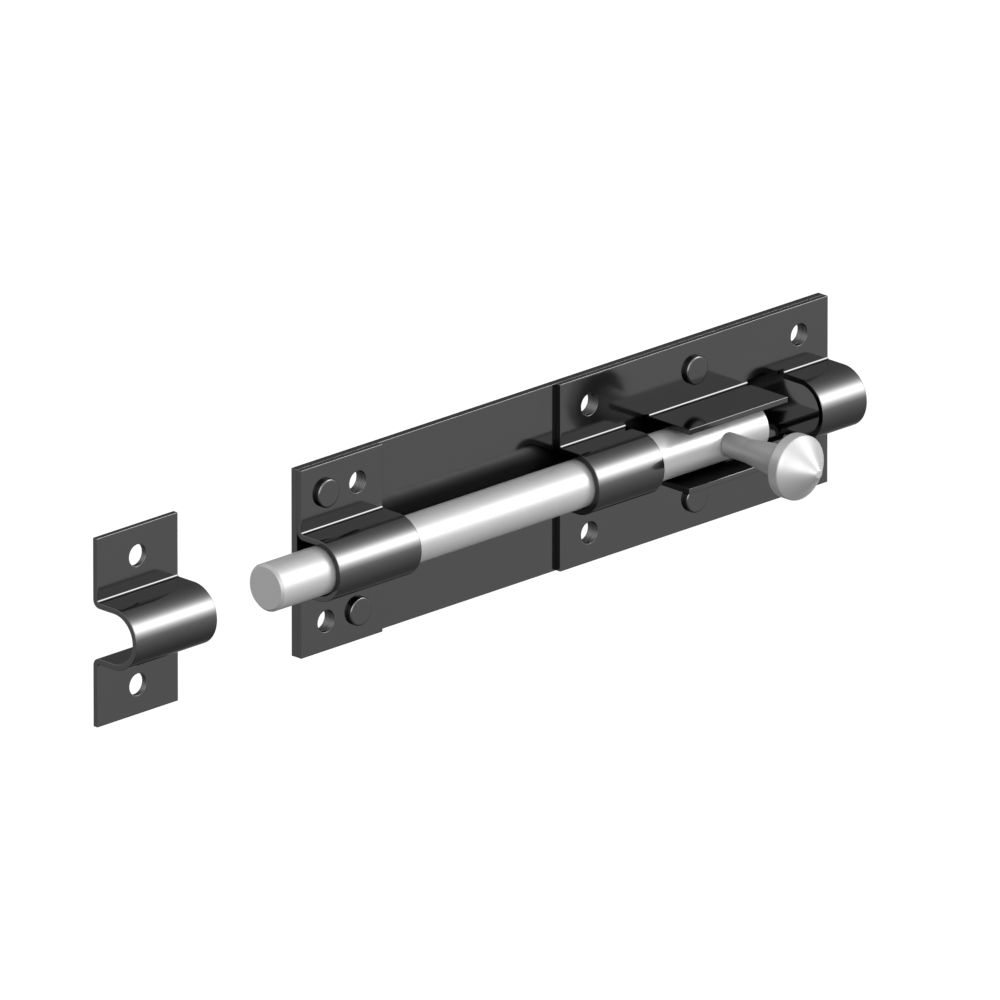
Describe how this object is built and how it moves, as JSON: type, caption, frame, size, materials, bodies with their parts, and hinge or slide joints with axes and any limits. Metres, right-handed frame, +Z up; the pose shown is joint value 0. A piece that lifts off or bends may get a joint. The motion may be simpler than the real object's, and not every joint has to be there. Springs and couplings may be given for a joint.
{
  "type": "barrel bolt",
  "caption": "Straight barrel bolt on a flat back plate: a round shoot slides in pressed barrel guides, moved by a turned knob, with its separate strap keep.",
  "frame": {"origin": "middle of the back plate's rear face, on the door", "axes": "X along the bolt, thrown towards -X; +Y into the door, so the hand is at -Y; +Z up"},
  "size_m": [0.2072, 0.038, 0.04],
  "materials": {
    "dark_sheet": "polished dark sheet steel",
    "dark_rivet": "polished dark steel rivet",
    "bright_steel": "bright polished turned steel"
  },
  "bodies": {
    "plate": {"back_plate": "dark_sheet", "front_guide": "dark_sheet", "double_guide": "dark_sheet", "front_rivet_upper": "dark_rivet", "front_rivet_lower": "dark_rivet", "rear_rivet_upper": "dark_rivet", "rear_rivet_lower": "dark_rivet", "keep": "dark_sheet"},
    "shoot": {"shoot": "bright_steel"},
    "knob": {"knob": "bright_steel"}
  },
  "joints": [
    {"name": "shoot_slide", "type": "slide", "parent": "plate", "child": "shoot", "axis": [1, 0, 0], "range_m": [-0.0171, 0.0225]},
    {"name": "knob_turn", "type": "hinge", "parent": "shoot", "child": "knob", "pos_m": [0.037, -0.0075, 0], "axis": [1, 0, 0], "range_deg": [-21.5, 21.5]}
  ]
}
